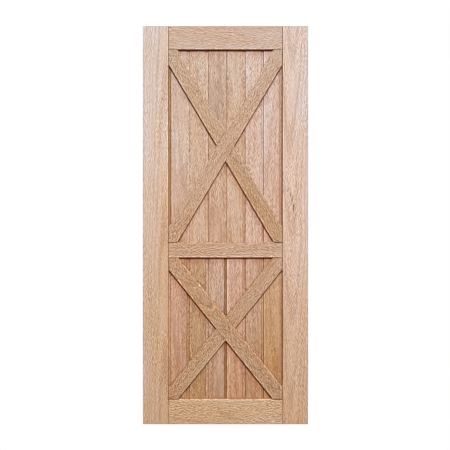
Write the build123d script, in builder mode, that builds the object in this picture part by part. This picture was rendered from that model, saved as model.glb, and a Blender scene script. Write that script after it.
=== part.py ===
from build123d import *
from collections import namedtuple
import math
import os

# A framed barn door leaf: two panels of tongued boards, each crossed by an X of braces.
# +X is to the right seen from the front, +Y goes from the front to the back, +Z is up.
# The origin is at the middle of the leaf's foot, and lengths are in millimetres.

# Leaf
door_width = 872.0
door_height = 2100.0
door_thickness = 40.0

# Frame
stile_width = 135.0
top_rail_height = 121.0
mid_rail_height = 79.0
bottom_rail_height = 132.0
lower_panel_height = 748.0
edge_easing = 2.0

# Boards. A strip of bare tongue shows between two of them, and beside each stile.
# The shares give each strip's width against board_gap, from the left stile to the right one,
# and the pitch shares give its middle, counted in board pitches.
board_thickness = 16.0
board_setback = 2.0
board_bevel = 2.5
board_gap = 11.0
boards_per_panel = 6
upper_gap_shares = (1.05, 1.2, 1.2, 0.25, 1.05, 0.75, 1.5)
lower_gap_shares = (0.95, 1.3, 1.2, 1.0, 1.2, 0.75, 1.2)
upper_pitch_shares = (0, 1, 2, 3.065, 4, 5, 6)
lower_pitch_shares = (0, 1, 2, 3, 4, 5, 6)

# Tongues and grooves
tongue_thickness = 5.0
tongue_reach = 6.0
groove_slip = 0.1
groove_spare = 1.5
board_end_gap = 0.3

# Braces
brace_width = 78.0
brace_slip = 0.3

# Dowels, two in each rail end
dowel_diameter = 12.0
dowel_length = 110.0
dowel_tip = 1.5
dowel_slip = 0.1
dowel_spare = 1.0
dowel_place_shares = (0.25, 0.75)

# Levels worked out from the sizes above
opening_width = door_width - 2 * stile_width
lower_panel_bottom = bottom_rail_height
mid_rail_bottom = lower_panel_bottom + lower_panel_height
upper_panel_bottom = mid_rail_bottom + mid_rail_height
top_rail_bottom = door_height - top_rail_height
upper_panel_height = top_rail_bottom - upper_panel_bottom

front_y = -door_thickness / 2
board_back_y = door_thickness / 2 - board_setback
board_front_y = board_back_y - board_thickness
board_mid_y = (board_front_y + board_back_y) / 2
brace_thickness = board_front_y - front_y

groove_width = tongue_thickness + 2 * groove_slip
groove_depth = tongue_reach + groove_spare
dowel_y = (front_y + board_mid_y - groove_width / 2) / 2

# A panel's long brace leans to the right (1) or to the left (-1) as it goes up.
Panel = namedtuple("Panel", "name bottom height gap_shares pitch_shares long_lean")
upper_panel = Panel(
    "upper", upper_panel_bottom, upper_panel_height, upper_gap_shares, upper_pitch_shares, 1
)
lower_panel = Panel(
    "lower", lower_panel_bottom, lower_panel_height, lower_gap_shares, lower_pitch_shares, -1
)

Rail = namedtuple("Rail", "name bottom height grooved_edges")
top_rail = Rail("top_rail", top_rail_bottom, top_rail_height, (0,))
mid_rail = Rail("mid_rail", mid_rail_bottom, mid_rail_height, (0, mid_rail_height))
bottom_rail = Rail("bottom_rail", 0, bottom_rail_height, (bottom_rail_height,))
rails = (top_rail, mid_rail, bottom_rail)

os.makedirs("parts", exist_ok=True)


def keep(builder, name):
    builder.part.label = name
    export_step(builder.part, f"parts/{name}.step")


def dowel_heights(rail):
    return [rail.bottom + share * rail.height for share in dowel_place_shares]


def joint_line(panel, joint):
    # Middle of the strip between two boards, counted from the one beside the left stile.
    board_pitch = (opening_width - board_gap) / boards_per_panel
    return (panel.pitch_shares[joint] - boards_per_panel / 2) * board_pitch


# Stiles: full-height uprights, grooved along the inner edge for the boards and the rail stubs
def make_stile(name, side):
    inner_x = side * opening_width / 2
    with BuildPart() as stile:
        with BuildSketch(Plane.XY):
            with Locations((side * (door_width - stile_width) / 2, 0)):
                Rectangle(stile_width, door_thickness)
        extrude(amount=door_height)
        broad_faces = stile.faces().sort_by(Axis.Y)
        chamfer(broad_faces[0].edges() + broad_faces[-1].edges(), length=edge_easing)
        with BuildSketch(Plane.XY):
            with Locations((inner_x, board_mid_y)):
                Rectangle(2 * groove_depth, groove_width)
        extrude(amount=door_height, mode=Mode.SUBTRACT)
        for rail in rails:
            for z in dowel_heights(rail):
                with Locations(Plane((inner_x, dowel_y, z), z_dir=(-side, 0, 0))):
                    Hole(dowel_diameter / 2 + dowel_slip, depth=dowel_length / 2 + dowel_spare)
    keep(stile, name)


make_stile("left_stile", -1)
make_stile("right_stile", 1)


# Rails: shouldered between the stiles, with a stub that fills the stile's groove
def make_rail(rail):
    middle_z = rail.bottom + rail.height / 2
    half_length = opening_width / 2
    with BuildPart() as crosspiece:
        with BuildSketch(Plane.YZ):
            with Locations((0, middle_z)):
                Rectangle(door_thickness, rail.height)
        extrude(amount=half_length, both=True)
        broad_faces = crosspiece.faces().sort_by(Axis.Y)
        chamfer(broad_faces[0].edges() + broad_faces[-1].edges(), length=edge_easing)
        with BuildSketch(Plane.YZ):
            with Locations((board_mid_y, middle_z)):
                Rectangle(tongue_thickness, rail.height)
        extrude(amount=half_length + tongue_reach, both=True)
        with BuildSketch(Plane.YZ):
            with Locations(*[(board_mid_y, rail.bottom + edge) for edge in rail.grooved_edges]):
                Rectangle(groove_width, 2 * groove_depth)
        extrude(amount=half_length + tongue_reach, both=True, mode=Mode.SUBTRACT)
        for side in (-1, 1):
            for z in dowel_heights(rail):
                with Locations(Plane((side * half_length, dowel_y, z), z_dir=(side, 0, 0))):
                    Hole(dowel_diameter / 2 + dowel_slip, depth=dowel_length / 2 + dowel_spare)
    keep(crosspiece, rail.name)


for rail in rails:
    make_rail(rail)


# Dowels: half in the stile and half in the rail
def make_dowels(rail):
    ends = (-opening_width / 2, opening_width / 2)
    with BuildPart() as dowels:
        with Locations(*[(x, dowel_y, z) for x in ends for z in dowel_heights(rail)]):
            Cylinder(dowel_diameter / 2, dowel_length, rotation=(0, 90, 0))
        chamfer(dowels.edges().filter_by(GeomType.CIRCLE), length=dowel_tip)
    keep(dowels, f"{rail.name}_dowels")


for rail in rails:
    make_dowels(rail)


# Boards: a tongue on the left edge and a groove in the right one, bevelled on both faces.
# The last board of a panel has a tongue on both edges, and all have tongues on their ends.
def make_board(panel, board):
    gaps = [board_gap * share for share in panel.gap_shares]
    first = board == 0
    last = board == boards_per_panel - 1
    left_x = gaps[0] - opening_width / 2 if first else joint_line(panel, board) + gaps[board] / 2
    if last:
        right_x = opening_width / 2 - gaps[-1]
    else:
        right_x = joint_line(panel, board + 1) - gaps[board + 1] / 2
    tongue_left_x = left_x - gaps[board] - tongue_reach
    tongue_right_x = right_x + gaps[-1] + tongue_reach if last else right_x - groove_depth
    body_height = panel.height - 2 * board_end_gap

    with BuildPart() as plank:
        with BuildSketch(Plane.XY.offset(panel.bottom + board_end_gap)) as section:
            with Locations(((left_x + right_x) / 2, board_mid_y)):
                Rectangle(right_x - left_x, board_thickness)
            chamfer(section.vertices(), length=board_bevel)
            if not last:
                with Locations((right_x, board_mid_y)):
                    Rectangle(2 * groove_depth, groove_width, mode=Mode.SUBTRACT)
        extrude(amount=body_height)
        with BuildSketch(Plane.XY.offset(panel.bottom - tongue_reach)):
            with Locations(((tongue_left_x + tongue_right_x) / 2, board_mid_y)):
                Rectangle(tongue_right_x - tongue_left_x, tongue_thickness)
        extrude(amount=panel.height + 2 * tongue_reach)
    keep(plank, f"{panel.name}_board_{board + 1}")


for panel in (upper_panel, lower_panel):
    for board in range(boards_per_panel):
        make_board(panel, board)


# Braces: centred on the panel's diagonals and cut to fit its corners, flush with the frame's front.
# One runs through, and the other is two halves, above (1) and below (-1) the crossing.
def make_brace(panel, name, lean, half):
    angle = math.degrees(math.atan2(panel.height, opening_width))
    stock_length = math.hypot(panel.height, opening_width) + brace_width
    middle_z = panel.bottom + panel.height / 2
    seat = Plane((0, board_front_y, middle_z), x_dir=(1, 0, 0), z_dir=(0, -1, 0))

    with BuildPart() as brace:
        with BuildSketch(seat):
            Rectangle(stock_length, brace_width, rotation=lean * angle)
            Rectangle(opening_width - 2 * brace_slip, panel.height - 2 * brace_slip, mode=Mode.INTERSECT)
            if half:
                crossing_width = brace_width + 2 * brace_slip
                Rectangle(stock_length, crossing_width, rotation=-lean * angle, mode=Mode.SUBTRACT)
                with Locations((0, half * panel.height / 2)):
                    Rectangle(opening_width, panel.height, mode=Mode.INTERSECT)
        extrude(amount=brace_thickness)
        chamfer(brace.faces().sort_by(Axis.Y)[0].edges(), length=edge_easing)
    keep(brace, f"{panel.name}_{name}")


for panel in (upper_panel, lower_panel):
    make_brace(panel, "brace_long", panel.long_lean, 0)
    make_brace(panel, "brace_top", -panel.long_lean, 1)
    make_brace(panel, "brace_bottom", -panel.long_lean, -1)
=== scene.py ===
# %% [markdown]
# # A framed barn door leaf
# This lesson dresses a finished model of a barn door leaf: two stiles, three rails, twelve tongued
# boards and two crosses of braces. The shapes are already right to the millimetre, so what is left is
# the timber itself, a pale pinkish hardwood that is sanded and not yet oiled. Each piece was cut from
# its own plank, so each gets its own figure, tone and grain direction. The shapes stay untouched.

# %% Load the door and keep its box
import math

import bpy
from mathutils import Euler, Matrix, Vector


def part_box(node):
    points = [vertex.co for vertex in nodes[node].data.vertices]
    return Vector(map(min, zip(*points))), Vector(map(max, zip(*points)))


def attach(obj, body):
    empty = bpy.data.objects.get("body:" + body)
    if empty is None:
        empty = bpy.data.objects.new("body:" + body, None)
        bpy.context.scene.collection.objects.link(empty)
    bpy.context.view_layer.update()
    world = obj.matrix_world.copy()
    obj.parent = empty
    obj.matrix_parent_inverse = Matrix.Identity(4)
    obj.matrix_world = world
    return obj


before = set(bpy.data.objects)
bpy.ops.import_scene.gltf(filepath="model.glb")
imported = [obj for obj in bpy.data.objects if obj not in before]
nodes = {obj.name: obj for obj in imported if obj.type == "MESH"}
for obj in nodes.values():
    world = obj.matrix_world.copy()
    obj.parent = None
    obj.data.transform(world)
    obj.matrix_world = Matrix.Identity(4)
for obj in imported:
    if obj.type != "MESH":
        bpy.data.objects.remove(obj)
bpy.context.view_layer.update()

# %% [markdown]
# ## Reading the sizes
# The frame's front face, the depth of the boards and the two openings that the braces cross are read
# from the model. They could be typed in, but then a change of size in the model would leave dust and
# screws in the wrong place. The width of a brace is typed, because the box around a slanting piece
# doesn't give it, and so are the few marks that a plank just happens to have.

# %% Sizes of the frame, the boards and the two openings
left_low, left_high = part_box("left_stile")
right_low, right_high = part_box("right_stile")
front_y = left_low[1]
leaf_half_width = right_high[0]
door_height = left_high[2]
opening_width = right_low[0] - left_high[0]

board_front_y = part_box("upper_board_1")[0][1]
board_back_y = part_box("upper_board_1")[1][1]
board_mid_y = (board_front_y + board_back_y) / 2
boards_per_panel = sum(name.startswith("upper_board") for name in nodes)
brace_width = 0.078

panel_heights = {
    "upper": (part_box("mid_rail")[1][2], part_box("top_rail")[0][2]),
    "lower": (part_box("bottom_rail")[1][2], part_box("mid_rail")[0][2]),
}
brace_angles = {}
for panel, (low, high) in panel_heights.items():
    brace_angles[panel] = math.atan2(high - low, opening_width)
print(f"opening {opening_width:.3f} m wide, panels {panel_heights}")

# %% [markdown]
# ## Shader maths as Python
# A material is a graph of small nodes, and a long formula is hard to read in that form. The class below
# wraps one socket. Arithmetic on it adds Math nodes, and `make` adds any other node, so the wood can be
# written down as ordinary expressions.

# %% A socket that does arithmetic
class Wire:
    """One value on its way through a material, with operators that add Math nodes."""

    def __init__(self, tree, socket=None):
        self.tree = tree
        self.socket = socket

    def make(self, kind, settings=None, inputs=None, output=0):
        """Adds a node, sets it up, fills its inputs and returns one of its outputs."""
        node = self.tree.nodes.new(kind)
        for name, value in (settings or {}).items():
            setattr(node, name, value)
        for name, value in (inputs or {}).items():
            if isinstance(value, Wire):
                self.tree.links.new(value.socket, node.inputs[name])
            else:
                node.inputs[name].default_value = value
        return Wire(self.tree, node.outputs[output])

    def math(self, operation, *values):
        return self.make("ShaderNodeMath", {"operation": operation}, dict(enumerate(values)))

    def __add__(self, other):
        return self.math("ADD", self, other)

    def __sub__(self, other):
        return self.math("SUBTRACT", self, other)

    def __mul__(self, other):
        return self.math("MULTIPLY", self, other)

    def __radd__(self, other):
        return self.math("ADD", other, self)

    def __rsub__(self, other):
        return self.math("SUBTRACT", other, self)

    def __rmul__(self, other):
        return self.math("MULTIPLY", other, self)

    def __abs__(self):
        return self.math("ABSOLUTE", self)

    def feed(self, node, name):
        """Links this value to an input of a node that exists."""
        self.tree.links.new(self.socket, node.inputs[name])


print("arithmetic on sockets is ready")

# %% [markdown]
# Six short helpers cover what the wood needs most: a smooth step, one axis of a vector, a number between
# two others, the right half of a piece, a mix of two colours and a tint. A tint multiplies, so dust or a
# stain keeps the grain below it visible.

# %% Smooth steps, axes, mixes and tints
def step(value, low, high):
    span = {"Value": value, "From Min": low, "From Max": high}
    return value.make("ShaderNodeMapRange", {"interpolation_type": "SMOOTHSTEP"}, span)


def axis(vector, name):
    return vector.make("ShaderNodeSeparateXYZ", None, {"Vector": vector}, name)


def between(share, first, last):
    return first + share * (last - first)


def right_of(place, middle, softness):
    return step(axis(place, "X"), middle - softness, middle + softness)


def mix(factor, first, second):
    return factor.make("ShaderNodeMix", {"data_type": "RGBA"}, {0: factor, 6: first, 7: second}, 2)


def tint(colour, factor, by):
    settings = {"data_type": "RGBA", "blend_type": "MULTIPLY"}
    return colour.make("ShaderNodeMix", settings, {0: factor, 6: colour, 7: (*by, 1.0)}, 2)


print("helpers are ready")

# %% [markdown]
# ## Tones of the timber
# Planks of one species still differ, and a door is sorted only roughly by colour. Eighteen tones are
# enough: the stiles and the bottom rail are the palest, the braces a shade browner, and the boards fall
# in between. Colours are written as they look on a screen and turned into linear light for the shader.

# %% A palette of wood tones
def linear(red, green, blue):
    channels = [channel / 255 for channel in (red, green, blue)]
    return [c / 12.92 if c <= 0.04045 else ((c + 0.055) / 1.055) ** 2.4 for c in channels]


wood_tones = {
    "shell": linear(216, 187, 166),
    "pearl": linear(216, 186, 165),
    "cream": linear(218, 189, 163),
    "fawn": linear(203, 166, 138),
    "oat": linear(196, 160, 132),
    "honey": linear(192, 155, 121),
    "sand": linear(206, 172, 148),
    "biscuit": linear(199, 162, 135),
    "rose": linear(210, 177, 155),
    "salmon": linear(207, 167, 143),
    "amber": linear(200, 160, 121),
    "mauve": linear(200, 166, 143),
    "caramel": linear(189, 151, 116),
    "wheat": linear(206, 172, 143),
    "blossom": linear(209, 170, 148),
    "nut": linear(195, 158, 127),
    "ash": linear(198, 166, 139),
    "tan": linear(201, 165, 138),
}
print(f"{len(wood_tones)} wood tones")

# %% [markdown]
# ## The figure of a plank
# A plank's figure comes from where it lay in the tree. The shader rebuilds that. The piece is turned so
# that its grain runs along Z, and the distance from an imagined pith behind the face gives the growth
# layers, bent by a slow noise. On a flat face they show as lines near the edges and arches near the
# middle, and on a sawn end as arcs, with no extra work. An image of wood would show neither.

# %% Noise that is stretched along the grain, with counts per metre across and along it
def grain_noise(grain, across, along, seed, detail=1.0):
    counts = (across, across, along)
    scaled = grain.make("ShaderNodeVectorMath", {"operation": "MULTIPLY"}, {0: grain, 1: counts})
    inputs = {"Vector": scaled, "W": seed, "Scale": 1.0, "Detail": detail, "Roughness": 0.55}
    return grain.make("ShaderNodeTexNoise", {"noise_dimensions": "4D"}, inputs)


print("grain noise is ready")

# %% Growth layers around the pith
pith_depth = 0.09
layer_width = 0.009
layer_edge = (0.1, 1.0)
wander_width = 0.07
wander_counts = (4.0, 1.4)


def bend_grain(grain, seed):
    wander = (grain_noise(grain, *wander_counts, seed, 2.0) - 0.5) * wander_width
    bent = axis(grain, "X") + wander
    parts = {"X": bent, "Y": axis(grain, "Y"), "Z": axis(grain, "Z")}
    return grain.make("ShaderNodeCombineXYZ", None, parts)


def growth_layers(bent_grain, pith_side, taper):
    side = axis(bent_grain, "X") - pith_side
    behind = axis(bent_grain, "Y") - pith_depth
    square = side * side + behind * behind
    radius = square.math("SQRT", square) + axis(bent_grain, "Z") * taper
    turns = radius * (2 * math.pi / layer_width)
    return step(turns.math("SINE", turns), *layer_edge)


print(f"growth layers {layer_width * 1000:.0f} mm wide")

# %% [markdown]
# ## Bare timber
# Long fibres make soft streaks, and fine pores show close up. In between lie short wavy flecks, dark and
# pale in turn across the grain, clearer in some patches of a plank than in others. Gabor noise suits
# them, since all its ripples can run one way, while plain noise stretched along the grain gives blots.
# The heartwood side of a plank is pinker and the sapwood side more golden, so each piece drifts from one
# to the other by its own share across and along. The whole leaf is also painted greyer at its head and
# yellower at its foot, as painted light that changes from head to foot.

# %% Short flecks
fleck_pitch = 0.0096
fleck_ripples = 1.6
fleck_shortening = 2.3
fleck_share = 0.65
seed_strides = (0.37, 0.71, 0.53)
speckle_counts = (200.0, 70.0)
clearing_counts = (20.0, 4.0)
faint_fleck = 0.5
clear_fleck = 1.4
noise_middle = (0.3, 0.7)


def grain_flecks(grain, seed):
    shift = tuple(seed * stride for stride in seed_strides)
    shortened = {0: grain, 1: (1.0, 1.0, fleck_shortening), 2: shift}
    inputs = {
        "Vector": grain.make("ShaderNodeVectorMath", {"operation": "MULTIPLY_ADD"}, shortened),
        "Scale": math.sqrt(2) / fleck_pitch / fleck_ripples,
        "Frequency": fleck_ripples,
        "Anisotropy": 1.0,
        "Orientation 3D": (math.sqrt(0.5), math.sqrt(0.5), 0.0),
    }
    ripples = step(grain.make("ShaderNodeTexGabor", {"gabor_type": "3D"}, inputs, "Value"), *noise_middle)
    speckle = step(grain_noise(grain, *speckle_counts, seed + 3.1), *noise_middle)
    flecks = ripples * fleck_share + speckle * (1 - fleck_share)
    clearing = step(grain_noise(grain, *clearing_counts, seed + 7.7), *noise_middle)
    return 0.5 + (flecks - 0.5) * between(clearing, faint_fleck, clear_fleck)


print(f"flecks {fleck_pitch * 1000:.1f} mm apart")

# %% Layers, fibres, flecks and pores
fibre_counts = (95.0, 3.0)
pore_counts = (450.0, 70.0)
pore_edge = (0.58, 0.7)


def plank_texture(grain, seed, pith_side, taper):
    bent_grain = bend_grain(grain, seed)
    return {
        "layers": growth_layers(bent_grain, pith_side, taper),
        "fibres": grain_noise(bent_grain, *fibre_counts, seed + 1.7, 3.0),
        "flecks": grain_flecks(bent_grain, seed),
        "pores": step(grain_noise(bent_grain, *pore_counts, seed + 4.9), *pore_edge),
    }


print(f"fibres {1000 / fibre_counts[0]:.0f} mm and pores {1000 / pore_counts[0]:.0f} mm apart")

# %% Colour of bare timber
deep_share = (0.64, 0.50, 0.41)
pale_share = (1.33, 1.47, 1.60)
layer_mean = 0.35
pore_shade = (0.6, 0.51, 0.45)
pink = (1.03, 1.24, 1.60)
gold = (0.97, 0.80, 0.62)
full_drift = 0.45
drift_counts = (22.0, 4.0)
drift_swing = 0.7
head_lighting_tint = (0.90, 1.01, 1.14)
foot_lighting_tint = (0.95, 0.86, 0.70)


def shaded(tone, shares, contrast):
    channels = [c * (1 + (share - 1) * contrast) for c, share in zip(wood_tones[tone], shares)]
    return (*channels, 1.0)


def plank_colour(place, grain, tone, seed, texture, strengths, drift, half_sizes):
    fleck_strength, fibre_strength, figure_strength, contrast = strengths
    shade = 0.5 + (texture["fibres"] - 0.5) * fibre_strength
    shade = shade + (texture["flecks"] - 0.5) * fleck_strength
    shade = shade - (texture["layers"] - layer_mean) * figure_strength
    colour = mix(shade, shaded(tone, deep_share, contrast), shaded(tone, pale_share, contrast))
    colour = tint(colour, texture["pores"], pore_shade)

    warm = (grain_noise(grain, *drift_counts, seed + 6.3, 2.0) - 0.5) * drift_swing
    warm = warm + axis(grain, "X") * (drift[0] / half_sizes[0])
    warm = warm + axis(grain, "Z") * (drift[1] / half_sizes[1])
    colour = tint(colour, warm * (1 / full_drift), pink)
    colour = tint(colour, warm * (-1 / full_drift), gold)

    # Painted light: towards its head the leaf is tinted greyer, towards its foot yellower.
    raised = axis(place, "Z") * (2 / door_height) - 1
    colour = tint(colour, raised, head_lighting_tint)
    return tint(colour, raised * -1, foot_lighting_tint)


print("bare timber is ready")

# %% [markdown]
# ## Ends, edges and joints
# Sawn ends drink in more light and look darker. Eased edges are rubbed a little paler by the sanding
# block and carry a painted highlight as well, on a narrow line of the face beside them too, and eased
# edges that face down get a stronger painted highlight. The outer rim of the leaf carries painted shade,
# and so do the side faces of rails and braces, darker towards the boards. Where a rail or brace ends
# against another piece, the two eased edges form a small V that holds dust at its bottom, and that is the
# thin dark line of a joint. All of these are found from the direction that a face looks in and from its
# place, so no part of the mesh has to be picked by hand.

# %% Where faces are eased, sunk, rubbed or part of the outer rim
eased_slant = (0.45, 0.6)
flat_slant = (0.8, 0.92)
joint_depth = 0.0008
rim_start = 0.007
rim_end = 0.002
rub_highlight_start = (0.0015, 0.0022)
rub_highlight_end = (0.005, 0.008)
rubbed_highlight = (1.5, 1.52, 1.54)


def eased_faces(facing):
    slant = abs(axis(facing, "Y"))
    return step(slant, *eased_slant) * (1 - step(slant, *flat_slant))


def sunk_dust_and_shade(place):
    depth = -front_y - abs(axis(place, "Y"))
    return step(depth, -joint_depth / 2, joint_depth)


def outer_rim(place):
    across = step(abs(axis(place, "X")), leaf_half_width - rim_start, leaf_half_width - rim_end)
    half_height = door_height / 2
    up = abs(axis(place, "Z") - half_height)
    ends = step(up, half_height - rim_start, half_height - rim_end)
    return across.math("MAXIMUM", across, ends)


# A pale line beside an edge: partly rubbed by sanding, partly a painted highlight.
def rub_highlight_edge(colour, distance, strength):
    line = step(distance, *rub_highlight_start) * (1 - step(distance, *rub_highlight_end))
    return tint(colour, line * strength, rubbed_highlight)


print(f"outer rim {rim_start * 1000:.0f} mm wide")

# %% Shades of ends, edges and joints
dust_and_shade_tint = (0.10, 0.045, 0.02)
arris_tint = (1.3, 1.3, 1.3)
under_arris_highlight = (1.4, 1.4, 1.4)
rim_shade_tint = (0.86, 0.87, 0.88)
rim_arris_shade_tint = (0.55, 0.55, 0.55)
sawn_tint = (0.84, 0.78, 0.72)
side_shade_tint = (0.64, 0.47, 0.34)
turned = (0.2, 0.35)
sawn_square = (0.85, 0.95)
side_slant = (0.2, 0.4)
side_start = 0.003


def edge_shades(colour, place, facing, direction, joint_dust):
    along = (math.cos(direction), 0.0, math.sin(direction))
    settings = {"operation": "DOT_PRODUCT"}
    sawn = abs(facing.make("ShaderNodeVectorMath", settings, {0: facing, 1: along}, "Value"))
    ended = step(sawn, *turned)
    eased = eased_faces(facing)
    rim = outer_rim(place)
    arris = eased * (1 - ended) * (1 - rim)
    # Eased edges are paler: partly sanding, partly a painted highlight.
    colour = tint(colour, arris, arris_tint)
    # Painted highlight: eased edges that face down are lightened further.
    colour = tint(colour, arris * step(axis(facing, "Z") * -1, *turned), under_arris_highlight)
    # Painted shade on the outer rim, stronger on its eased edges.
    colour = tint(colour, rim, rim_shade_tint)
    colour = tint(colour, eased * rim, rim_arris_shade_tint)
    colour = tint(colour, step(sawn, *sawn_square), sawn_tint)
    # Painted shade: side faces grow darker towards the boards.
    side_face = (1 - step(abs(axis(facing, "Y")), *side_slant)) * (1 - rim)
    side_shade_depth = step(axis(place, "Y"), front_y + side_start, board_front_y)
    colour = tint(colour, side_face * side_shade_depth, side_shade_tint)
    if joint_dust:
        colour = tint(colour, ended * (1 - rim) * sunk_dust_and_shade(place) * joint_dust, dust_and_shade_tint)
    return colour


print("edges are ready")

# %% Dust and painted shade along a stile, left (-1) or right (1) of the opening
inner_arris_shade = (0.88, 0.66, 0.42)
inward = (0.4, 0.6)
stile_rub_highlight = 0.5
stile_highlight_heights = (0.75, 1.1)
dust_rise = 0.15


def stile_joints(colour, place, facing, side, foot_dust_and_shade, low_dust_and_shade, head_dust_and_shade):
    height = axis(place, "Z")
    edge = axis(place, "X") * side - opening_width / 2
    colour = rub_highlight_edge(colour, edge, step(height, *stile_highlight_heights) * stile_rub_highlight)
    # A stile's inner eased edge is browner and darker: dust in its joints, and painted shade along the
    # edge of the recess.
    inner = step(axis(facing, "X") * -side, *inward) * eased_faces(facing)
    colour = tint(colour, inner, inner_arris_shade)
    rail_top, panel_top = panel_heights["lower"]
    strength = between(step(height, rail_top, rail_top + dust_rise), foot_dust_and_shade, low_dust_and_shade)
    strength = strength + step(height, panel_top, panel_heights["upper"][1]) * (head_dust_and_shade - low_dust_and_shade)
    return tint(colour, inner * sunk_dust_and_shade(place) * strength, dust_and_shade_tint)


print("stile joints are ready")

# %% Dust where the braces end against a rail, above (1) or below (-1) it
line_softness = 0.0005
seat_softness = 0.002
seat_dusts = (0.7, 1.0)
seat_middle_softness = 0.01


def rail_joints(panel, side, line_width):
    reach = brace_width / 2 / math.sin(brace_angles[panel])
    seat_end = opening_width / 2 - reach
    low, high = panel_heights[panel]
    edge_z = low if side > 0 else high

    def finish(colour, place, facing):
        inside = (edge_z - axis(place, "Z")) * side
        line = 1 - step(inside, line_width - line_softness, line_width + line_softness)
        seat = step(abs(axis(place, "X")), seat_end - seat_softness, seat_end)
        strength = between(right_of(place, 0.0, seat_middle_softness), *seat_dusts)
        return tint(colour, line * seat * strength, dust_and_shade_tint)

    return finish


print("rail joints are ready")

# %% [markdown]
# ## Bare tongues
# Between two boards a strip of bare tongue shows. It was never sanded and it is set back, so its colour
# is partly its own stain and partly painted light and shade of the recess, browner, more golden or paler
# from strip to strip. The bevels beside it and their foot carry dust and painted shade, which gives a
# dark line on each side. The tint follows the depth below the board's face, and each tongue has its
# own. Next to a stile the corner carries painted shade as well. Strips of their own could be modelled,
# but the tongues are already part of the boards.

# %% Stain on the tongues and dust on the bevels
tongue_stains_and_shades = {
    "bare": (1.1, 1.08, 1.04),
    "blush": (1.1, 1.16, 1.24),
    "chalk": (1.28, 1.38, 1.46),
    "straw": (1.0, 0.89, 0.72),
    "gold": (0.94, 0.75, 0.33),
    "russet": (0.95, 0.87, 0.88),
    "brown": (0.78, 0.64, 0.54),
    "umber": (0.57, 0.46, 0.25),
}
bevel_dust_and_shade = (0.26, 0.16, 0.085)
corner_shade_tint = (0.12, 0.05, 0.02)
flush_tint = (0.86, 0.68, 0.6)
flush_heights = (1.0, 1.35)
strip_depth = (0.003, 0.0045)
corner_start = 0.003
corner_end = 0.0022
foot_softness = 0.0005
board_middle_softness = 0.005
print(f"{len(tongue_stains_and_shades)} tongue stains")


# %% Strips on both sides of a board, whose front face runs from one x to another
def tongue_strips(colour, place, facing, face, stains_and_shades, bevel_strengths, foot_width, corner_shade, flush):
    half = (board_back_y - board_front_y) / 2
    # Each strip's tint is partly the tongue's own stain and partly painted light and shade of the recess.
    strip = step(half - abs(axis(place, "Y") - board_mid_y), *strip_depth)
    right = right_of(place, sum(face) / 2, board_middle_softness)
    colour = tint(colour, strip * (1 - right), tongue_stains_and_shades[stains_and_shades[0]])
    colour = tint(colour, strip * right, tongue_stains_and_shades[stains_and_shades[1]])

    flushed = strip * (1 - right) * (1 - step(axis(place, "Z"), *flush_heights)) * flush
    colour = tint(colour, flushed, flush_tint)
    half_opening = opening_width / 2
    # Painted shade in the corner beside a stile.
    corner = step(abs(axis(place, "X")), half_opening - corner_start, half_opening - corner_end)
    colour = tint(colour, strip * corner * between(right, *corner_shade), corner_shade_tint)

    # Dust and painted shade in the bevels and at their foot.
    bevel = 1 - step(abs(axis(facing, "Y")), *flat_slant)
    foot_x = face[0] - foot_width
    foot = strip * step(axis(place, "X"), foot_x, foot_x + foot_softness)
    bevel_shade_mask = bevel.math("MAXIMUM", bevel, foot) * (1 - right)
    colour = tint(colour, bevel_shade_mask * bevel_strengths[0], bevel_dust_and_shade)
    return tint(colour, bevel * right * bevel_strengths[1], bevel_dust_and_shade)


print("tongue strips are ready")

# %% [markdown]
# ## Marks
# A few places catch the eye: a row of dark pores on the right stile, a golden streak on the left one, a
# pin knot on one brace, small dents in the outer edge and soft patches on some boards. Each is a soft
# ellipse that a Mapping node centres, turns and sizes. A painted image could show them as well, but it
# would blur close up.

# %% A soft ellipse of pores, knot, dent or patch
pore_tint = (0.16, 0.09, 0.05)
mark_depth = 0.008
mark_fade = (0.15, 1.0)


def mark(colour, place, x, z, half_width, half_length, lean, strength, by=pore_tint, face_y=front_y):
    inputs = {
        "Vector": place,
        "Location": (x, face_y, z),
        "Rotation": (0.0, lean, 0.0),
        "Scale": (half_width, mark_depth, half_length),
    }
    local = place.make("ShaderNodeMapping", {"vector_type": "TEXTURE"}, inputs)
    settings = {"operation": "DOT_PRODUCT"}
    square = local.make("ShaderNodeVectorMath", settings, {0: local, 1: local}, "Value")
    inside = 1 - step(square, *mark_fade)
    return tint(colour, inside * strength, by)


print("marks are ready")

# %% [markdown]
# ## One finished piece
# The parts above go together here. The colour feeds Base Color, the fibres vary the gloss, and a shallow
# bump from fibres, flecks and pores breaks up the highlight as raised grain does. What only some pieces
# have is handed in as a function, so the timber itself is written once.

# %% Half the width and length of a piece along its grain
def half_sizes_of(name, direction):
    low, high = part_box(name)
    wide = high[0] - low[0]
    tall = high[2] - low[2]
    if abs(math.sin(2 * direction)) > 0.01:
        return brace_width / 2, math.hypot(wide, tall) / 2
    upright_share = abs(math.sin(direction))
    across = wide * upright_share + tall * (1 - upright_share)
    return across / 2, (wide + tall - across) / 2


print("sizes along the grain are ready")

# %% Gloss and relief of bare timber
mean_roughness = 0.6
fibre_gloss = 0.3
pore_roughness = 0.1
relief_shares = {"fibres": 0.4, "flecks": 0.2, "pores": -0.6}
relief_strength = 0.3
relief_depth = 0.0005
wood_specular = 0.25


def surface(shader, texture):
    roughness = mean_roughness - (texture["fibres"] - 0.5) * fibre_gloss
    (roughness + texture["pores"] * pore_roughness).feed(shader, "Roughness")
    fibres, flecks, pores = (texture[kind] * share for kind, share in relief_shares.items())
    relief = fibres + flecks + pores
    inputs = {"Strength": relief_strength, "Distance": relief_depth, "Height": relief}
    relief.make("ShaderNodeBump", None, inputs).feed(shader, "Normal")
    shader.inputs["Specular IOR Level"].default_value = wood_specular


print("surface is ready")

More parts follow.
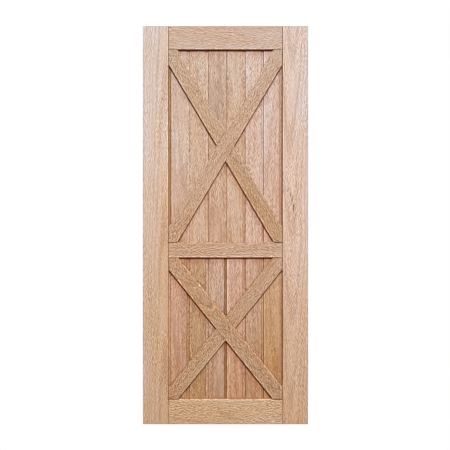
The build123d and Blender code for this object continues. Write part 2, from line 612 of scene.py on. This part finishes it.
# %% Material of one piece of timber
def timber(
    name, tone, direction, seed, pith, drift, flecks=1.0, fibre=0.45, figure=0.16, rub_highlight=(0.0, 0.0),
    joint_dust=0.0, contrast=1.0, middle=None, finish=None,
):
    material = bpy.data.materials.new(name)
    material.use_nodes = True
    tree = material.node_tree
    shader = tree.nodes["Principled BSDF"]
    place = Wire(tree).make("ShaderNodeTexCoord", output="Object")
    facing = Wire(tree).make("ShaderNodeTexCoord", output="Normal")

    low, high = (Vector(corner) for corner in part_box(name))
    turn = Euler((0.0, direction - math.pi / 2, 0.0))
    offset = -(turn.to_matrix() @ (middle or (low + high) / 2))
    settings = {"Vector": place, "Location": offset, "Rotation": turn}
    grain = place.make("ShaderNodeMapping", None, settings)

    texture = plank_texture(grain, seed, *pith)
    half_sizes = half_sizes_of(name, direction)
    strengths = (flecks, fibre, figure, contrast)
    colour = plank_colour(place, grain, tone, seed, texture, strengths, drift, half_sizes)
    for side, strength in zip((1, -1), rub_highlight):
        if strength:
            edge = half_sizes[0] + axis(grain, "X") * side
            colour = rub_highlight_edge(colour, edge, strength)
    colour = edge_shades(colour, place, facing, direction, joint_dust)
    if finish:
        colour = finish(colour, place, facing)
    colour.feed(shader, "Base Color")
    surface(shader, texture)
    nodes[name].data.materials.clear()
    nodes[name].data.materials.append(material)


print("timber is ready")

# %% [markdown]
# ## Finishing the frame
# Stiles stand upright, so their grain runs up. Rails lie across. The inner halves of the stiles are
# more golden than the outer ones, and the mid and bottom rails are flecked most strongly. All five could
# share one material, but then the grain would run straight through their joints.

# %% Marks on the stiles
edge_dents = [
    (left_low[0], 0.721, 0.005, 0.006, 0.0, 0.6),
    (left_low[0], 1.818, 0.004, 0.005, 0.0, 0.5),
]
pore_arc = [
    (0.3305, 1.238, 0.0042, 0.018, 0.35, 0.7),
    (0.3430, 1.212, 0.0048, 0.011, 0.3, 0.9),
    (0.3515, 1.184, 0.0042, 0.036, 0.2, 0.65),
    (0.3587, 1.152, 0.0050, 0.012, 0.05, 0.9),
    (0.3587, 1.134, 0.0042, 0.018, 0.0, 0.8),
]
streak_tint = (0.94, 0.88, 0.75)
gold_streak = (-0.345, 0.80, 0.10, 0.65, 0.0, 0.8, streak_tint)
print(f"{len(edge_dents)} dents, {len(pore_arc)} pores and a streak")

# %% Two stiles
upright = math.pi / 2


def finish_left_stile(colour, place, facing):
    colour = stile_joints(colour, place, facing, -1, foot_dust_and_shade=0.3, low_dust_and_shade=0.35, head_dust_and_shade=0.8)
    for dent in edge_dents:
        colour = mark(colour, place, *dent)
    return mark(colour, place, *gold_streak)


def finish_right_stile(colour, place, facing):
    colour = stile_joints(colour, place, facing, 1, foot_dust_and_shade=0.35, low_dust_and_shade=0.85, head_dust_and_shade=1.0)
    for pore in pore_arc:
        colour = mark(colour, place, *pore)
    return colour


timber(
    "left_stile", "shell", upright, 2.0, (0.05, 0.012), (-0.1, -0.01), flecks=1.45, figure=0.2,
    finish=finish_left_stile,
)
timber(
    "right_stile", "pearl", upright, 5.0, (-0.02, -0.02), (0.07, 0.02), flecks=1.45, figure=0.2,
    finish=finish_right_stile,
)
print("stiles finished")

# %% Three rails
level = 0.0
timber(
    "top_rail", "fawn", level, 8.0, (0.02, 0.06), (0.03, -0.01), flecks=2.5, fibre=0.3, figure=0.1,
    rub_highlight=(0.0, 0.55), joint_dust=1.0, finish=rail_joints("upper", -1, line_width=0.002),
)
timber(
    "mid_rail", "tan", level, 11.0, (-0.04, 0.02), (0.02, 0.07), flecks=3.2, rub_highlight=(0.0, 0.95),
    joint_dust=0.9, contrast=1.15, finish=rail_joints("upper", 1, line_width=0.003),
)
timber(
    "bottom_rail", "cream", level, 14.0, (0.02, -0.03), (0.05, 0.03), flecks=2.7, rub_highlight=(0.9, 0.0),
    joint_dust=0.6, contrast=1.2, finish=rail_joints("lower", 1, line_width=0.004),
)
print("rails finished")

# %% [markdown]
# ## Finishing the boards
# The boards lie behind the braces. Their tones change at the mid rail, which shows that the upper and
# lower ones are separate boards. One material with a number for each board could serve them all, but a
# table of tones, drifts and stains is easier to change one board at a time.

# %% Timber of the boards, from left to right
board_tones = {
    "upper": ("sand", "wheat", "biscuit", "wheat", "rose", "rose"),
    "lower": ("salmon", "honey", "mauve", "blossom", "biscuit", "amber"),
}
board_drifts = {
    "upper": ((-0.02, 0.03), (0.04, 0.0), (0.02, 0.05), (-0.03, 0.0), (-0.04, 0.0), (-0.07, 0.1)),
    "lower": ((0.02, 0.05), (-0.07, 0.0), (0.11, 0.0), (-0.2, 0.1), (-0.07, 0.1), (-0.02, 0.2)),
}
board_flecks = {
    "upper": (0.7, 1.7, 1.4, 1.4, 1.6, 1.3),
    "lower": (1.5, 2.2, 1.5, 1.5, 1.8, 1.0),
}
board_fibres = {
    "upper": (0.4, 0.5, 0.7, 0.5, 0.7, 0.1),
    "lower": (1.9, 0.8, 1.2, 1.5, 1.7, 0.8),
}
print(f"tones for {sum(len(tones) for tones in board_tones.values())} boards")

# %% Stains, dust and rubbed edges of the boards, from left to right
strip_stains_and_shades = {
    "upper": ("gold", "blush", "chalk", "straw", "straw", "bare", "brown"),
    "lower": ("bare", "straw", "blush", "umber", "bare", "bare", "russet"),
}
strip_flushes = {
    "upper": (0.0, 0.0, 0.0, 0.0, 1.0, 1.0),
    "lower": (0.0, 0.0, 0.0, 0.0, 0.0, 0.0),
}
bevel_dusts_and_shades = {
    "upper": ((1.0, 0.3), (0.5, 0.3), (0.75, 0.55), (0.55, 0.6), (0.85, 0.6), (0.9, 0.4)),
    "lower": ((0.95, 0.85), (0.7, 0.9), (0.7, 1.0), (0.95, 0.6), (0.8, 0.95), (0.95, 0.1)),
}
foot_widths = {
    "upper": (0.0062, 0.0043, 0.0043, 0.0043, 0.0043, 0.0043),
    "lower": (0.0043, 0.0043, 0.0043, 0.0043, 0.0043, 0.0043),
}
left_rub_highlights = {
    "upper": (0.7, 0.15, 0.05, 0.6, 0.5, 0.5),
    "lower": (0.4, 0.6, 0.1, 1.0, 0.15, 0.35),
}
right_rub_highlight = 0.2
corner_shades = {"upper": (1.0, 1.0), "lower": (0.4, 1.0)}
print(f"{sum(len(stains_and_shades) for stains_and_shades in strip_stains_and_shades.values())} strips of tongue")

# %% [markdown]
# Under each rail and brace the board is painted dark, a painted shadow where little light comes in.
# Below that dark line the timber is painted browner for a few centimetres, as a soft painted shadow. A
# lamp alone gives too grey a shadow, so the boards carry this shade themselves. Above the braces the
# board is a little darker along their upper edge. A lean is 1 for a brace that rises to the right and -1
# for one that rises to the left. A reach says where a shade starts to fade and where it ends, and a pair
# of warm strengths is for the left and the right half.

# %% Dark corners under rails and braces
under_shadow_tint = (0.27, 0.08, 0.025)
under_shadow_strengths = {"upper": 1.0, "lower": 0.75}
rail_reach = (0.006, 0.011)
under_reaches = {
    "upper": {-1: (0.001, 0.011), 1: (0.001, 0.010)},
    "lower": {-1: (0.003, 0.014), 1: (0.001, 0.012)},
}
warm_shade_tint = (0.9, 0.75, 0.7)
warm_reach = (0.008, 0.05)
warm_strengths = {
    "upper": {-1: (0.35, 0.95), 1: (0.4, 0.4)},
    "lower": {-1: (0.9, 0.9), 1: (0.2, 0.0)},
}
ledge_darkenings = {"upper": {-1: 0.1, 1: 0.1}, "lower": {-1: 0.3, 1: 0.05}}
ledge_reach = (0.002, 0.006)
face_softness = 0.001
beside_softness = 0.002
crossing_softness = 0.03


def beside(distance, near, far):
    return step(distance, -beside_softness, 0.0) * (1 - step(distance, near, far))


def dark_corners(colour, place, panel):
    low, high = panel_heights[panel]
    angle = brace_angles[panel]
    height = axis(place, "Z") - (low + high) / 2
    front = 1 - step(axis(place, "Y"), board_mid_y - face_softness, board_mid_y + face_softness)
    right = right_of(place, 0.0, crossing_softness)
    # Painted shadow under the rail, then a browner painted soft shadow below it.
    below_rail = high - axis(place, "Z")
    colour = tint(colour, front * beside(below_rail, *rail_reach) * under_shadow_strengths[panel], under_shadow_tint)
    colour = tint(colour, front * beside(below_rail, *warm_reach), warm_shade_tint)
    for lean in (-1, 1):
        off = height * math.cos(angle) - axis(place, "X") * (lean * math.sin(angle))
        above_brace = off - brace_width / 2
        below_brace = off * -1 - brace_width / 2
        # Below each brace a browner painted soft shadow and a dark painted shadow.
        warm = beside(below_brace, *warm_reach) * between(right, *warm_strengths[panel][lean])
        colour = tint(colour, front * warm, warm_shade_tint)
        # Above each brace, a darker line on the board along its upper edge.
        ledge = beside(above_brace, *ledge_reach) * ledge_darkenings[panel][lean]
        colour = tint(colour, front * ledge, bevel_dust_and_shade)
        colour = tint(colour, front * beside(below_brace, *under_reaches[panel][lean]), under_shadow_tint)
    return colour


print("dark corners are ready")

# %% Soft patches on some boards
pink_patch = (1.06, 1.13, 1.19)
gold_patch = (0.92, 0.86, 0.76)
grey_patch = (0.89, 0.9, 0.87)
board_patches = {
    "upper_board_1": [(-0.245, 1.02, 0.06, 0.17, gold_patch), (-0.245, 1.47, 0.06, 0.17, pink_patch)],
    "upper_board_3": [(-0.049, 1.26, 0.06, 0.15, pink_patch), (-0.049, 1.68, 0.06, 0.17, grey_patch)],
    "lower_board_1": [(-0.245, 0.85, 0.06, 0.13, gold_patch)],
    "lower_board_3": [(-0.049, 0.68, 0.06, 0.12, pink_patch)],
    "lower_board_6": [(0.245, 0.17, 0.06, 0.14, pink_patch)],
}
print(f"patches on {len(board_patches)} boards")

# %% Finish of one board
face_tolerance = 0.0001
rub_highlight_inset = 0.002


def board_finish(panel, board):
    name = f"{panel}_board_{board + 1}"
    strip_values = (
        strip_stains_and_shades[panel][board : board + 2], bevel_dusts_and_shades[panel][board], foot_widths[panel][board],
        corner_shades[panel], strip_flushes[panel][board],
    )
    points = [vertex.co for vertex in nodes[name].data.vertices]
    front = [point.x for point in points if point.y < board_front_y + face_tolerance]
    face = (min(front), max(front))

    def finish(colour, place, facing):
        for *ellipse, patch in board_patches.get(name, ()):
            colour = mark(colour, place, *ellipse, 0.0, 1.0, patch, board_front_y)
        across = axis(place, "X")
        colour = rub_highlight_edge(colour, across - face[0] + rub_highlight_inset, left_rub_highlights[panel][board])
        colour = rub_highlight_edge(colour, face[1] - across + rub_highlight_inset, right_rub_highlight)
        colour = tongue_strips(colour, place, facing, face, *strip_values)
        return dark_corners(colour, place, panel)

    return finish


print("board finish is ready")

# %% Twelve boards
seed = 20.0
seed_step = 3.0
pith_swing = 0.04
taper_swing = 0.02
for panel, tones in board_tones.items():
    for board, tone in enumerate(tones):
        pith = (pith_swing * math.sin(seed * 2.3), taper_swing * math.cos(seed * 1.7))
        timber(
            f"{panel}_board_{board + 1}", tone, upright, seed, pith, board_drifts[panel][board],
            board_flecks[panel][board], board_fibres[panel][board], finish=board_finish(panel, board),
        )
        seed += seed_step
print("boards finished")

# %% [markdown]
# ## Finishing the braces
# A brace's grain runs along its own diagonal, at the angle of the opening that it crosses. One of them
# was cut where the growth layers run out of the face, and they show there as arches. The growth layers
# of the shader could give arches too, but not at chosen places, so these few are drawn as parabolas.
# Two braces are darker along their upper edge.

# %% Timber of the braces
brace_looks = {
    "upper": {
        "long": {"tone": "nut", "pith": (0.03, 0.02), "drift": (-0.03, 0.04), "flecks": 3.4},
        "top": {"tone": "honey", "pith": (-0.02, 0.03), "drift": (-0.03, 0.02), "flecks": 3.2},
        "bottom": {"tone": "caramel", "pith": (0.02, -0.03), "drift": (-0.07, 0.01), "flecks": 3.4},
    },
    "lower": {
        "long": {"tone": "nut", "pith": (0.012, 0.09), "drift": (0.01, 0.11), "flecks": 3.0},
        "top": {"tone": "oat", "pith": (-0.03, 0.02), "drift": (0.03, -0.04), "flecks": 3.4},
        "bottom": {"tone": "ash", "pith": (0.03, 0.02), "drift": (0.06, 0.08), "flecks": 3.4},
    },
}
brace_figures = {
    "upper": {"long": 0.2, "top": 0.2, "bottom": 0.2},
    "lower": {"long": 0.12, "top": 0.2, "bottom": 0.2},
}
brace_rub_highlights = {
    "upper": {"long": (0.15, 0.3), "top": (0.25, 0.8), "bottom": (0.25, 0.7)},
    "lower": {"long": (0.7, 0.7), "top": (0.3, 0.4), "bottom": (0.25, 0.35)},
}
long_leans = {"upper": 1, "lower": -1}
brace_contrast = 1.22
brace_joint_dust = 0.95
print(f"timber for {sum(len(looks) for looks in brace_looks.values())} brace pieces")

# %% Arches on a brace: tip, middle, bend, width, strength and tint of each
pale_arch = (1.35, 1.37, 1.39)
dark_arch = (0.6, 0.53, 0.49)
arches = [
    (-0.285, 0.028, 22.0, 0.016, 0.3, dark_arch),
    (-0.258, 0.028, 22.0, 0.007, 0.55, pale_arch),
    (-0.140, 0.010, 60.0, 0.016, 0.5, dark_arch),
    (-0.116, 0.010, 60.0, 0.007, 0.8, pale_arch),
    (0.015, 0.005, 60.0, 0.006, 0.6, dark_arch),
    (0.292, 0.010, 60.0, 0.006, 0.7, dark_arch),
    (0.424, 0.018, 60.0, 0.006, 0.9, dark_arch),
]


def finish_arched_brace(colour, place, facing):
    angle = -brace_angles["lower"]
    height = axis(place, "Z") - sum(panel_heights["lower"]) / 2
    along = axis(place, "X") * math.cos(angle) + height * math.sin(angle)
    across = height * math.cos(angle) - axis(place, "X") * math.sin(angle)
    for tip, middle, bend, width, strength, by in arches:
        side = across - middle
        off = abs(along - tip + side * side * bend)
        colour = tint(colour, (1 - step(off, width / 2, width)) * strength, by)
    return colour


print(f"{len(arches)} arches")

# %% Knot and darker upper edges on the other braces
pin_knot = (0.100, 1.706, 0.0045, 0.006, 0.0, 0.9)
upper_edge_darkening = 0.8


def finish_knotty_brace(colour, place, facing):
    return mark(colour, place, *pin_knot)


def finish_dark_edged_brace(colour, place, facing):
    upper_arris = eased_faces(facing) * step(axis(facing, "Z"), *turned)
    return tint(colour, upper_arris * upper_edge_darkening, bevel_dust_and_shade)


brace_finishes = {
    ("upper", "long"): finish_knotty_brace,
    ("lower", "long"): finish_arched_brace,
    ("lower", "top"): finish_dark_edged_brace,
    ("lower", "bottom"): finish_dark_edged_brace,
}
print(f"{len(brace_finishes)} braces with marks of their own")

# %% Six brace pieces
for panel, looks in brace_looks.items():
    for part, look in looks.items():
        lean = long_leans[panel] if part == "long" else -long_leans[panel]
        timber(
            f"{panel}_brace_{part}", direction=lean * brace_angles[panel], seed=seed,
            figure=brace_figures[panel][part], rub_highlight=brace_rub_highlights[panel][part],
            joint_dust=brace_joint_dust, contrast=brace_contrast,
            middle=Vector((0.0, 0.0, sum(panel_heights[panel]) / 2)),
            finish=brace_finishes.get((panel, part)), **look,
        )
        seed += seed_step
print("braces finished")

# %% [markdown]
# The dowels sit inside the joints, where nobody sees them. They get a plain finish of the same timber.

# %% Dowels
for name in nodes:
    if name.endswith("dowels"):
        timber(name, "sand", level, seed, (0.02, 0.0), (0.0, 0.0))
        seed += seed_step
print("dowels finished")

# %% [markdown]
# ## Screws in the back
# The braces are held by screws that are driven from the back, one where the middle of each board meets
# a brace. There are many alike, so Geometry Nodes make them: a low cone with a cross cut into it is put
# on a cloud of points, each turned by chance. Screws modelled one by one would be slower to change.

# %% Where the screws go
def screw_places():
    places = []
    for panel, (low, high) in panel_heights.items():
        slope = (high - low) / opening_width
        for board in range(boards_per_panel):
            box_low, box_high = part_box(f"{panel}_board_{board + 1}")
            x = (box_low[0] + box_high[0]) / 2
            for lean in (-1, 1):
                places.append((x, board_back_y, (low + high) / 2 + lean * slope * x))
    return places


screw_mesh = bpy.data.meshes.new("brace_screws")
screw_mesh.from_pydata(screw_places(), [], [])
screws = bpy.data.objects.new("brace_screws", screw_mesh)
bpy.context.collection.objects.link(screws)
print(f"{len(screw_mesh.vertices)} screws")

# %% Steel of the screws
dark_steel = (0.10, 0.10, 0.11, 1.0)
pale_steel = (0.26, 0.25, 0.24, 1.0)
smear_count = 900.0
steel = bpy.data.materials.new("screw_steel")
steel.use_nodes = True
shader = steel.node_tree.nodes["Principled BSDF"]
place = Wire(steel.node_tree).make("ShaderNodeTexCoord", output="Object")
smears = place.make("ShaderNodeTexNoise", None, {"Vector": place, "Scale": smear_count, "Detail": 3.0})
mix(smears, dark_steel, pale_steel).feed(shader, "Base Color")
between(smears, 0.3, 0.55).feed(shader, "Roughness")
shader.inputs["Metallic"].default_value = 1.0
print("steel is ready")

# %% A tree that puts a screw head on each point
screw_sizes = {
    "Head Diameter": 0.0085,
    "Head Height": 0.0008,
    "Recess Length": 0.0046,
    "Recess Width": 0.0011,
}
screw_tree = bpy.data.node_groups.new("screw_heads", "GeometryNodeTree")
screw_tree.interface.new_socket("Geometry", in_out="INPUT", socket_type="NodeSocketGeometry")
for name in screw_sizes:
    screw_tree.interface.new_socket(name, in_out="INPUT", socket_type="NodeSocketFloat")
screw_tree.interface.new_socket("Seed", in_out="INPUT", socket_type="NodeSocketInt")
screw_tree.interface.new_socket("Material", in_out="INPUT", socket_type="NodeSocketMaterial")
screw_tree.interface.new_socket("Geometry", in_out="OUTPUT", socket_type="NodeSocketGeometry")
group_in = screw_tree.nodes.new("NodeGroupInput")
group_out = screw_tree.nodes.new("NodeGroupOutput")
given = {socket.name: Wire(screw_tree, socket) for socket in group_in.outputs if socket.name}
print(f"inputs {list(given)}")

# %% Head with its recess
start = Wire(screw_tree)
cone = {
    "Vertices": 24,
    "Radius Top": given["Head Diameter"] * 0.4,
    "Radius Bottom": given["Head Diameter"] * 0.5,
    "Depth": given["Head Height"],
}
head = start.make("GeometryNodeMeshCone", {"fill_type": "NGON"}, cone)
bar_sizes = {"X": given["Recess Length"], "Y": given["Recess Width"], "Z": given["Head Height"]}
bar_size = start.make("ShaderNodeCombineXYZ", None, bar_sizes)
bar = start.make("GeometryNodeMeshCube", None, {"Size": bar_size})
lift = start.make("ShaderNodeCombineXYZ", None, {"Z": given["Head Height"]})
for quarter in (0.0, math.pi / 2):
    moved = {"Geometry": bar, "Translation": lift, "Rotation": (0.0, 0.0, quarter)}
    cutter = start.make("GeometryNodeTransform", None, moved)
    settings = {"operation": "DIFFERENCE", "solver": "EXACT"}
    head = start.make("GeometryNodeMeshBoolean", settings, {"Mesh 1": head, "Mesh 2": cutter})
print("a head with a cross")

# %% A head on each point, turned by chance
turns = {2: 0.0, 3: math.pi, 8: given["Seed"]}
spin = start.make("FunctionNodeRandomValue", {"data_type": "FLOAT"}, turns, 1)
towards_back = start.make("ShaderNodeCombineXYZ", None, {"X": -math.pi / 2, "Y": spin})
instances = {"Points": given["Geometry"], "Instance": head, "Rotation": towards_back}
heads = start.make("GeometryNodeInstanceOnPoints", None, instances)
heads = start.make("GeometryNodeRealizeInstances", None, {"Geometry": heads})
heads = start.make("GeometryNodeSetMaterial", None, {"Geometry": heads, "Material": given["Material"]})
heads.feed(group_out, "Geometry")
print(f"{len(screw_tree.nodes)} nodes")

# %% Make the screws a plain mesh and fix them to the leaf
screw_inputs = {**screw_sizes, "Seed": 4, "Material": steel}
modifier = screws.modifiers.new("screw_heads", "NODES")
modifier.node_group = screw_tree
for socket in screw_tree.interface.items_tree:
    if socket.in_out == "INPUT" and socket.name in screw_inputs:
        modifier[socket.identifier] = screw_inputs[socket.name]
evaluated = screws.evaluated_get(bpy.context.evaluated_depsgraph_get())
plain_mesh = bpy.data.meshes.new_from_object(evaluated)
screws.modifiers.remove(modifier)
screws.data = plain_mesh
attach(screws, "root")
depths = [vertex.co.y for vertex in plain_mesh.vertices]
print(f"screw heads from {min(depths):.4f} to {max(depths):.4f}, board back at {board_back_y:.4f}")

# %% [markdown]
# ## Floor and world
# The floor is plain and white to the eye, and still takes the door's shadow close to its foot. To the
# lamps it is a dull brown, so that little light comes back up: the undersides of rails and braces have
# to stay dark. The world does the same, white to the eye and a weak warm light to the door, like what
# timber throws back into its own corners. A bright world would be simpler, but it would wash the shadows
# out.

# %% What is seen straight or in a reflection
white = (1.0, 1.0, 1.0, 1.0)


def seen(tree):
    rays = ("Is Camera Ray", "Is Glossy Ray", "Is Transmission Ray")
    camera, glossy, clear = (Wire(tree).make("ShaderNodeLightPath", output=ray) for ray in rays)
    total = camera + glossy + clear
    return total.math("MINIMUM", total, 1.0)


print("rays are told apart")

# %% Floor
floor_half = 6.0
floor_mesh = bpy.data.meshes.new("floor")
floor_corners = [(-floor_half, -floor_half, 0), (floor_half, -floor_half, 0)]
floor_corners += [(floor_half, floor_half, 0), (-floor_half, floor_half, 0)]
floor_mesh.from_pydata(floor_corners, [], [(0, 1, 2, 3)])
floor = bpy.data.objects.new("floor", floor_mesh)
bpy.context.collection.objects.link(floor)
print(f"floor {2 * floor_half:.0f} m wide")

# %% Finish of the floor
lit_floor = (0.22, 0.18, 0.14, 1.0)
seen_floor = (0.95, 0.95, 0.95, 1.0)
near_glow = 0.8
shadow_reach = (0.5, 1.2)
floor_material = bpy.data.materials.new("white_floor")
floor_material.use_nodes = True
tree = floor_material.node_tree
cover = tree.nodes["Principled BSDF"]
cover.inputs["Roughness"].default_value = 0.9
place = Wire(tree).make("ShaderNodeTexCoord", output="Object")
distance = place.make("ShaderNodeVectorMath", {"operation": "LENGTH"}, {0: place}, "Value")
glow_share = between(step(distance, *shadow_reach), near_glow, 1.0)
mix(seen(tree), lit_floor, seen_floor).feed(cover, "Base Color")
glow = tree.nodes.new("ShaderNodeEmission")
blend = tree.nodes.new("ShaderNodeMixShader")
(seen(tree) * glow_share).feed(blend, 0)
tree.links.new(cover.outputs[0], blend.inputs[1])
tree.links.new(glow.outputs[0], blend.inputs[2])
tree.links.new(blend.outputs[0], tree.nodes["Material Output"].inputs["Surface"])
floor_mesh.materials.append(floor_material)
print("floor finished")

# %% World
warm_light = (1.0, 0.62, 0.36, 1.0)
ambient = 0.03
world = bpy.data.worlds.new("studio")
bpy.context.scene.world = world
world.use_nodes = True
tree = world.node_tree
background = tree.nodes["Background"]
mix(seen(tree), warm_light, white).feed(background, "Color")
between(seen(tree), ambient, 1.0).feed(background, "Strength")
print("world ready")

# %% [markdown]
# ## Lamps
# A lamp above and in front gives the thin shadows under the rails and braces. It is small enough to keep
# them crisp, and stands a little to the right, so the braces that rise to the left throw the wider ones.
# Lamps beside and behind the leaf never reach its front, and let the edges and the back be seen from
# other sides.

# %% Four lamps
def lamp(name, place, width, height, power):
    data = bpy.data.lights.new(name, "AREA")
    data.shape = "RECTANGLE"
    data.size = width
    data.size_y = height
    data.energy = power
    thing = bpy.data.objects.new(name, data)
    thing.location = place
    aim = Vector((0.0, 0.0, door_height / 2)) - Vector(place)
    thing.rotation_euler = aim.to_track_quat("-Z", "Y").to_euler()
    bpy.context.collection.objects.link(thing)


lamp("high_lamp", (0.5, -6.5, 4.4), 1.4, 1.2, 514.0)
lamp("back_lamp", (0.0, 5.0, 3.4), 3.0, 2.4, 260.0)
lamp("left_lamp", (-4.5, 0.6, 2.4), 1.6, 2.4, 160.0)
lamp("right_lamp", (4.5, 0.6, 2.4), 1.6, 2.4, 160.0)
print("lamps ready")

# %% [markdown]
# ## Camera
# The leaf is seen straight on from its own mid-height. The lens follows from the distance and from the
# width of one pixel at the frame's front face.

# %% Camera straight in front
image_pixels = 450
pixel_size = 0.0052765
view_distance = 4.2
pixels_right = 0.5
pixels_down = 0.15
camera_data = bpy.data.cameras.new("camera")
camera_data.sensor_width = 36.0
camera_data.lens = camera_data.sensor_width * view_distance / (image_pixels * pixel_size)
camera = bpy.data.objects.new("camera", camera_data)
camera_z = door_height / 2 + pixels_down * pixel_size
camera.location = (-pixels_right * pixel_size, front_y - view_distance, camera_z)
camera.rotation_euler = (math.pi / 2, 0.0, 0.0)
bpy.context.collection.objects.link(camera)
bpy.context.scene.camera = camera
bpy.context.scene.view_settings.view_transform = "Standard"
print(f"lens {camera_data.lens:.1f} mm")
